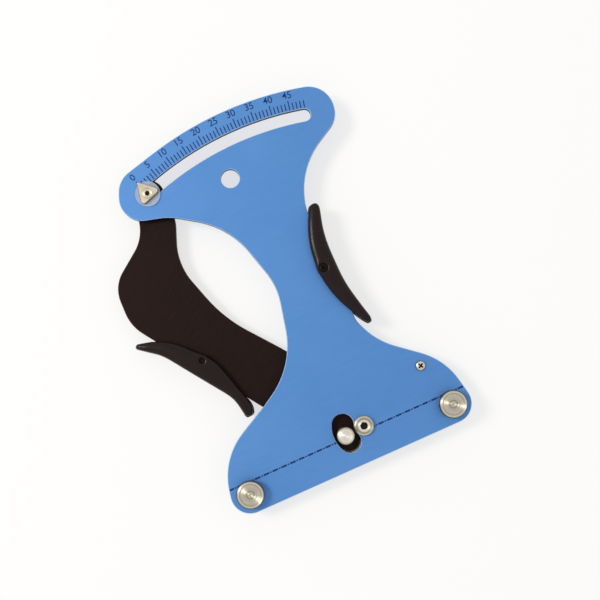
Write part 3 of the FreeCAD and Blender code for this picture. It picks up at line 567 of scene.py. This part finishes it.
plastic, tree = new_material("glass_filled_nylon_moulding")
pits = clouds(tree, 0.45 * MM, 4.0)
tone = put(tree, "ShaderNodeMix", {0: clouds(tree, 7 * MM), 6: linear("#170c0b"), 7: linear("#211211")},
           data_type="RGBA").outputs[2]
gloss = put(tree, "ShaderNodeMapRange", {0: pits, 1: NOISE_LOW, 2: NOISE_HIGH, 3: 0.24, 4: 0.32}).outputs[0]
surface(tree, pits, 0.015 * MM, Base_Color=tone, Roughness=gloss, IOR=1.53, Specular_IOR_Level=0.17)
print("grips are", plastic.name)

# %% [markdown]
# ## Every piece gets its finish
#
# The solids arrive with plain colours. A table from piece to finish is easier to check than a
# finish given here and there, and the `assert` stops the script if a piece is missing from it.

# %% Give every CAD piece its finish
FINISHES = {
    "face_plate": blue, "lever_arm": black_sheet,
    "fixed_post_washers": zinc, "fixed_post_nuts": zinc, "pivot_washer": zinc, "pivot_nut": zinc,
    "spring_anchor": zinc, "moving_post_screw": zinc, "spring_tail_pin": zinc,
    "pointer_washer": zinc, "pointer_nut": zinc,
    "pointer": nickel, "pivot_spacer": nylon, "pointer_stud": nylon,
    "pivot_bush": bronze, "return_spring": wire_steel,
    "palm_grip_front": plastic, "palm_grip_rear": plastic,
    "finger_grip_front": plastic, "finger_grip_rear": plastic,
    "palm_grip_screw": black_screw, "finger_grip_screw": black_screw,
    **posts,
}
assert set(FINISHES) == set(nodes)
for name, material in FINISHES.items():
    nodes[name].data.materials.clear()
    nodes[name].data.materials.append(material)
print("finishes given:", len(set(m.name for m in FINISHES.values())))

# %% [markdown]
# ## From a node tree to a plain mesh
#
# Two things on the plate repeat by a rule: the marks of the scale, and the dashes of the spoke
# line. Each could be drawn one by one, but a Geometry Nodes tree makes them all from a few named
# sizes. Both trees end alike: a bar on every point, made real, and inked. `grow` runs a tree and
# keeps the result as a plain mesh, because a piece has to be a mesh of its own in the end. The
# ink stands 0.03 mm proud of the face.

# %% Helpers for trees and meshes
INK_HEIGHT = 0.03 * MM


def new_tree(name, sizes):
    """Geometry tree with a float input for every size. Gives the tree, its inputs and its end."""
    tree = bpy.data.node_groups.new(name, "GeometryNodeTree")
    for size in sizes:
        tree.interface.new_socket(size, in_out="INPUT", socket_type="NodeSocketFloat")
    tree.interface.new_socket("Geometry", in_out="OUTPUT", socket_type="NodeSocketGeometry")
    return tree, put(tree, "NodeGroupInput").outputs, put(tree, "NodeGroupOutput").inputs[0]


def ink_bars(tree, end, count, spot, size, **more):
    """End of a tree: a bar of a size on each of a number of points, at its spot, in ink."""
    line = put(tree, "GeometryNodeMeshLine", {"Count": count, "Offset": (0, 0, 0)}).outputs[0]
    placed = put(tree, "GeometryNodeSetPosition", {"Geometry": line, "Position": spot}).outputs[0]
    bar = put(tree, "GeometryNodeMeshCube").outputs[0]
    stretch = put(tree, "ShaderNodeCombineXYZ", dict(enumerate(size))).outputs[0]
    copies = put(tree, "GeometryNodeInstanceOnPoints", {
        "Points": placed, "Instance": bar, "Scale": stretch, **more}).outputs[0]
    solid = put(tree, "GeometryNodeRealizeInstances", {0: copies}).outputs[0]
    inked = put(tree, "GeometryNodeSetMaterial", {"Geometry": solid, "Material": ink}).outputs[0]
    tree.links.new(inked, end)


def plain_mesh(thing):
    """Mesh of an object as its modifiers or its curve make it."""
    return bpy.data.meshes.new_from_object(thing.evaluated_get(bpy.context.evaluated_depsgraph_get()))


def grow(name, tree, sizes):
    """Run a tree on an empty mesh and keep what it makes as a plain mesh."""
    seed = add_object(name + "_tree", bpy.data.meshes.new(name + "_tree"))
    modifier = seed.modifiers.new("tree", "NODES")
    modifier.node_group = tree
    for socket in tree.interface.items_tree:
        if socket.in_out == "INPUT":
            modifier[socket.identifier] = float(sizes[socket.name])
    mesh = plain_mesh(seed)
    seed.modifiers.remove(modifier)
    bpy.data.objects.remove(seed)
    mesh.materials.clear()
    mesh.materials.append(ink)
    mesh.name = name
    print(name, "triangles:", sum(len(p.vertices) - 2 for p in mesh.polygons))
    return mesh


print("ink stands", round(INK_HEIGHT / MM, 3), "mm proud")

# %% [markdown]
# ## The marks of the scale
#
# The dial has fifty marks, every fifth one longer, set out by angle about the pivot. The tree
# gives each point its number, turns the number into an angle, and sets a bar there that points
# at the pivot. A bar's remainder after division by five says whether it's a long one.

# %% Fifty marks
MARKS = 50
LONG_EVERY = 5
MARK_STEP = math.radians(0.663)
mark_sizes = {
    "reach": 177.9 * MM, "zero": DIAL_ZERO, "step": MARK_STEP,
    "short": 4.0 * MM, "long": 5.4 * MM, "width": 0.58 * MM, "height": INK_HEIGHT, "level": FACE,
    "centre_x": PIVOT.x, "centre_y": PIVOT.y,
}
tree, inner, end = new_tree("scale_marks", mark_sizes)
index = put(tree, "GeometryNodeInputIndex").outputs[0]
turn_back = put(tree, "ShaderNodeMath", {0: index, 1: inner["step"]}, operation="MULTIPLY").outputs[0]
angle = put(tree, "ShaderNodeMath", {0: inner["zero"], 1: turn_back}, operation="SUBTRACT").outputs[0]
remainder = put(tree, "ShaderNodeMath", {0: index, 1: float(LONG_EVERY)}, operation="MODULO").outputs[0]
is_long = put(tree, "ShaderNodeMath", {0: remainder, 1: 0.5}, operation="LESS_THAN").outputs[0]
length = put(tree, "ShaderNodeMix", {0: is_long, 2: inner["short"], 3: inner["long"]}).outputs[0]
half_length = put(tree, "ShaderNodeMath", {0: length, 1: 0.5}, operation="MULTIPLY").outputs[0]
middle = put(tree, "ShaderNodeMath", {0: inner["reach"], 1: half_length}, operation="ADD").outputs[0]
cosine = put(tree, "ShaderNodeMath", {0: angle}, operation="COSINE").outputs[0]
sine = put(tree, "ShaderNodeMath", {0: angle}, operation="SINE").outputs[0]
away_x = put(tree, "ShaderNodeMath", {0: cosine, 1: middle, 2: inner["centre_x"]},
             operation="MULTIPLY_ADD").outputs[0]
away_y = put(tree, "ShaderNodeMath", {0: sine, 1: middle, 2: inner["centre_y"]},
             operation="MULTIPLY_ADD").outputs[0]
lifted = put(tree, "ShaderNodeMath", {0: inner["height"], 1: 0.5, 2: inner["level"]},
             operation="MULTIPLY_ADD").outputs[0]
spot = put(tree, "ShaderNodeCombineXYZ", {0: away_x, 1: away_y, 2: lifted}).outputs[0]
facing = put(tree, "ShaderNodeCombineXYZ", {2: angle}).outputs[0]
ink_bars(tree, end, MARKS, spot, (length, inner["width"], inner["height"]), Rotation=facing)

scale_marks = add_object("scale_marks", grow("scale_marks", tree, mark_sizes))
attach(scale_marks, "plate")

# %% [markdown]
# ## The numbers of the scale
#
# A number stands outside every long mark, with its foot towards the pivot. Letters are text, so
# a text object makes each one: it is thickened to the ink's height, spread a hair as wet ink
# spreads, made a mesh, centred, and only then turned and moved into its place on the arc. In
# Blender's own font a digit is 0.7 of the text's size high, so this size gives digits of 3.8 mm
# with the ink's spread.

# %% Ten numbers
NUMBER_REACH = 186.5 * MM
NUMBER_SIZE = 5.3425 * MM
INK_SPREAD = 0.03 * MM


def join(name, meshes, material):
    """One piece from several meshes."""
    verts, faces = [], []
    for mesh in meshes:
        start = len(verts)
        verts += [tuple(v.co) for v in mesh.vertices]
        faces += [tuple(start + i for i in p.vertices) for p in mesh.polygons]
    whole = bpy.data.meshes.new(name)
    whole.from_pydata(verts, [], faces)
    whole.materials.append(material)
    print(name, "faces:", len(faces))
    return add_object(name, whole)


def number_mesh(count):
    """Number as a mesh, at its place on the arc."""
    curve = bpy.data.curves.new("number", "FONT")
    curve.body = str(count)
    curve.align_x = "CENTER"
    curve.align_y = "CENTER"
    curve.size = NUMBER_SIZE
    curve.extrude = INK_HEIGHT / 2
    curve.offset = INK_SPREAD
    text = add_object("number", curve)
    mesh = plain_mesh(text)
    bpy.data.objects.remove(text)
    across = [v.co.x for v in mesh.vertices]
    along = [v.co.y for v in mesh.vertices]
    centre = Vector(((min(across) + max(across)) / 2, (min(along) + max(along)) / 2, 0))
    angle = DIAL_ZERO - count * MARK_STEP
    spot = PIVOT + Vector((math.cos(angle), math.sin(angle), 0)) * NUMBER_REACH
    spot.z = FACE + INK_HEIGHT / 2
    upright = Matrix.Rotation(angle - math.pi / 2, 4, "Z")
    mesh.transform(Matrix.Translation(spot) @ upright @ Matrix.Translation(-centre))
    return mesh


numbers = [number_mesh(count) for count in range(0, MARKS, LONG_EVERY)]
scale_numbers = join("scale_numbers", numbers, ink)
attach(scale_numbers, "plate")

# %% [markdown]
# ## The spoke line
#
# A dashed line shows where the spoke lies. It runs along the tool's own X axis, from edge to edge
# of the plate, and is broken by the window, the pivot's head and the two posts. The places of
# the edges could be typed in, but rays sent along the line through the plate's solid find them,
# one on each side of the line, so that no corner of a dash hangs over an edge.

# %% Where the line can run
LINE_WIDTH = 1.05 * MM
EDGE_ROOM = 0.4 * MM
POST_ROOM = 1.8 * MM
RAY_DEPTH = 1.0 * MM
RUN_UP = 1 * MM
plate_mesh = nodes["face_plate"].data
plate_points = [v.co for v in plate_mesh.vertices]
plate_tree = BVHTree.FromPolygons(plate_points, [p.vertices for p in plate_mesh.polygons])


def first_wall(start_x, heading):
    """Where a ray along the line, just under the face, first meets the plate's wall, from a start."""
    walls = []
    for side in (-LINE_WIDTH / 2, LINE_WIDTH / 2):
        start = Vector((start_x, side, FACE - RAY_DEPTH))
        walls.append(plate_tree.ray_cast(start, Vector((heading, 0, 0)))[0].x)
    return max(walls) if heading > 0 else min(walls)


plate_left = first_wall(cad_low.x - RUN_UP, 1) + EDGE_ROOM
plate_right = first_wall(cad_high.x + RUN_UP, -1) - EDGE_ROOM
window_left = first_wall(middle_of("moving_post").x, -1) - EDGE_ROOM
head_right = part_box("pivot_screw")[1].x - EDGE_ROOM
left_post, right_post = middle_of("fixed_post_left").x, middle_of("fixed_post_right").x
stretches = [(plate_left, left_post - POST_ROOM), (left_post + POST_ROOM, window_left),
             (head_right, right_post - POST_ROOM), (right_post + POST_ROOM, plate_right)]
print("line runs between, mm:", [(round(a / MM, 1), round(b / MM, 1)) for a, b in stretches])

# %% [markdown]
# The pattern is a long dash, a dot, a long dash. The tree sets out a row of equal bars and cuts
# each one to what lies between two ends, as print is cut at an edge, and leaves out a bar of
# which nothing is left. It runs twice in every stretch, once for the dashes and once for the
# dots, which lie halfway between them and are a little narrower.

# %% The dashed line
LINE_PERIOD = 5.313 * MM
FIRST_DASH = -74.77 * MM
DASH, DOT = 3.3 * MM, 1.0 * MM
DOT_WIDTH = 0.7 * LINE_WIDTH
BARS = 40
SHORTEST_BAR = 0.1 * MM
dashes = {"first": FIRST_DASH, "step": LINE_PERIOD, "length": DASH, "width": LINE_WIDTH,
          "height": INK_HEIGHT, "level": FACE, "low": 0.0, "high": 0.0}
dots = {**dashes, "first": FIRST_DASH + LINE_PERIOD / 2, "length": DOT, "width": DOT_WIDTH}
tree, inner, end = new_tree("row_of_bars", dashes)
index = put(tree, "GeometryNodeInputIndex").outputs[0]
centre = put(tree, "ShaderNodeMath", {0: index, 1: inner["step"], 2: inner["first"]},
             operation="MULTIPLY_ADD").outputs[0]
bar_start = put(tree, "ShaderNodeMath", {0: inner["length"], 1: -0.5, 2: centre},
                operation="MULTIPLY_ADD").outputs[0]
bar_end = put(tree, "ShaderNodeMath", {0: inner["length"], 1: 0.5, 2: centre},
              operation="MULTIPLY_ADD").outputs[0]
cut_start = put(tree, "ShaderNodeMath", {0: bar_start, 1: inner["low"]}, operation="MAXIMUM").outputs[0]
cut_end = put(tree, "ShaderNodeMath", {0: bar_end, 1: inner["high"]}, operation="MINIMUM").outputs[0]
length = put(tree, "ShaderNodeMath", {0: cut_end, 1: cut_start}, operation="SUBTRACT").outputs[0]
both_ends = put(tree, "ShaderNodeMath", {0: cut_start, 1: cut_end}, operation="ADD").outputs[0]
middle = put(tree, "ShaderNodeMath", {0: both_ends, 1: 0.5}, operation="MULTIPLY").outputs[0]
lifted = put(tree, "ShaderNodeMath", {0: inner["height"], 1: 0.5, 2: inner["level"]},
             operation="MULTIPLY_ADD").outputs[0]
spot = put(tree, "ShaderNodeCombineXYZ", {0: middle, 2: lifted}).outputs[0]
stays = put(tree, "ShaderNodeMath", {0: length, 1: SHORTEST_BAR}, operation="GREATER_THAN").outputs[0]
ink_bars(tree, end, BARS, spot, (length, inner["width"], inner["height"]), Selection=stays)

rows = []
for low, high in stretches:
    for pattern in (dashes, dots):
        rows.append(grow("bars", tree, {**pattern, "low": low, "high": high}))
spoke_line = join("spoke_line", rows, ink)
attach(spoke_line, "plate")

# %% [markdown]
# ## The lever's foot
#
# Through the lower end of the window the photograph shows black metal with a bevel, where the
# lever's foot passes behind the moving post. The lever's solid stops a little short of it, so a
# round foot of the same sheet is set there, a hair inside the lever's two faces so that only the
# part that stands out is seen. Its middle is under the window's lower end, which lies on the
# moving post's arc about the pivot, 23.2 degrees on from the post. The foot is made wider than
# the real one, so that it also closes the window's end where there is only shade: its outer part
# is a dark piece standing in for that shade.

# %% The foot
# FOOT_RADIUS reaches past the real foot's edge; the part beyond stands in for shade.
FOOT_RADIUS = 6.35 * MM
FOOT_BEVEL = 1.0 * MM
FOOT_SIDES = 96
FOOT_SWING = math.radians(23.2)
HAIR = 0.01 * MM
lever_low, lever_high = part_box("lever_arm")
post = middle_of("moving_post")
arm = Vector((post.x - PIVOT.x, post.y - PIVOT.y, 0))
window_end = PIVOT + Matrix.Rotation(FOOT_SWING, 3, "Z") @ arm
form = bmesh.new()
bmesh.ops.create_cone(form, cap_ends=True, segments=FOOT_SIDES, radius1=FOOT_RADIUS, radius2=FOOT_RADIUS,
                      depth=lever_high.z - lever_low.z - 2 * HAIR)
rims = [edge for edge in form.edges if abs(edge.verts[0].co.z - edge.verts[1].co.z) < HAIR]
bmesh.ops.bevel(form, geom=rims, offset=FOOT_BEVEL, segments=1, affect="EDGES")
foot_mesh = bpy.data.meshes.new("lever_foot")
form.to_mesh(foot_mesh)
form.free()
foot_mesh.transform(Matrix.Translation((window_end.x, window_end.y, (lever_low.z + lever_high.z) / 2)))
foot_mesh.materials.append(black_sheet)
foot = add_object("lever_foot", foot_mesh)
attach(foot, "lever")
print("foot faces:", len(foot_mesh.polygons))

# %% [markdown]
# ## The grips
#
# Each grip is two moulded halves, screwed together over the plate's edge or the lever's. A mould
# has no sharp edges: the crown runs over into the sides in one long curve, and the ends taper to
# a soft point. The solids have a small rounded rim. One way to round it more is to draw the form
# again; a quicker one is to melt it: the solid is rebuilt on an even net, and the net is relaxed,
# more towards the crown and not at all where the half sits on the plate. Near the screw it is
# relaxed less, so that the screw's head still sits in its recess. A CAD mesh is loose triangles,
# so a copy of it is merged first.

# %% Copies of a solid, and the relaxed crown
WELD = 0.001 * MM
NET = 0.5 * MM
SIDE_STEPS = 40
CROWN_STEPS = 260
PULL = 0.5
CROWN_RISE = 1.8 * MM
SCREW_ROOM = 2.8 * MM
LEAST_NEAR_SCREW = 0.1


def merged_copy(node):
    """Copy of a CAD piece's mesh with its loose triangles merged."""
    mesh = nodes[node].data.copy()
    form = bmesh.new()
    form.from_mesh(mesh)
    bmesh.ops.remove_doubles(form, verts=form.verts, dist=WELD)
    form.to_mesh(mesh)
    form.free()
    return mesh


def shade_smooth(mesh):
    """Smooth shading on every face."""
    for polygon in mesh.polygons:
        polygon.use_smooth = True


def crown_share(point, seat, outwards, screw):
    """How freely a point is relaxed, from 0 at the seat to 1 on the crown, less near the screw."""
    rise = (point.z * outwards - seat) / CROWN_RISE
    off_screw = (math.hypot(point.x - screw.x, point.y - screw.y) - SCREW_ROOM) / SCREW_ROOM
    return min(1.0, max(0.0, rise)) * min(1.0, max(LEAST_NEAR_SCREW, off_screw))


print("net of", round(NET / MM, 2), "mm, relaxed", CROWN_STEPS, "times on the crown")

# %% [markdown]
# ## The halves of the grips
#
# Three modifiers do the work on each half: Remesh makes the even net, one Smooth relaxes the
# outline without touching the heights, and a second one relaxes the crown by the shares that are
# kept in a vertex group. Their result is kept as a plain mesh before the half is given to its
# body.

# %% Soft mouldings


def moulding(name, node, screw, body, outwards):
    """A grip half with its crown relaxed into one soft curve; outwards is 1 in front and -1 behind."""
    source = add_object(name, merged_copy(node))
    net = source.modifiers.new("net", "REMESH")
    net.mode = "VOXEL"
    net.voxel_size = NET
    netted = plain_mesh(source)
    source.modifiers.remove(net)
    source.data = netted
    seat = min(v.co.z * outwards for v in netted.vertices)
    group = source.vertex_groups.new(name="crown")
    for vertex in netted.vertices:
        group.add([vertex.index], crown_share(vertex.co, seat, outwards, screw), "REPLACE")
    sides = source.modifiers.new("sides", "SMOOTH")
    sides.factor, sides.iterations, sides.use_z = PULL, SIDE_STEPS, False
    crown = source.modifiers.new("crown", "SMOOTH")
    crown.factor, crown.iterations, crown.vertex_group = PULL, CROWN_STEPS, "crown"
    soft = plain_mesh(source)
    source.modifiers.clear()
    source.vertex_groups.clear()
    source.data = soft
    soft.name = name
    shade_smooth(soft)
    soft.materials.clear()
    soft.materials.append(plastic)
    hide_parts(node)
    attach(source, body)
    print(name, "faces:", len(soft.polygons))


for grip, body in (("palm_grip", "plate"), ("finger_grip", "lever")):
    screw = middle_of(grip + "_screw")
    moulding(grip + "_crown", grip + "_front", screw, body, 1)
    moulding(grip + "_back", grip + "_rear", screw, body, -1)

# %% [markdown]
# ## The return spring
#
# The spring's hooks hang on a pin of the lever and on the plate's anchor, so it has to stretch
# when the lever moves. Its CAD solid can't stretch; here it is hidden, and a merged copy of it,
# shaded smooth, takes its place.

# %% The spring
spring_mesh = merged_copy("return_spring")
shade_smooth(spring_mesh)
spring = add_object("spring_wire", spring_mesh)
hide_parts("return_spring")
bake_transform(spring)
print("spring faces:", len(spring_mesh.polygons))
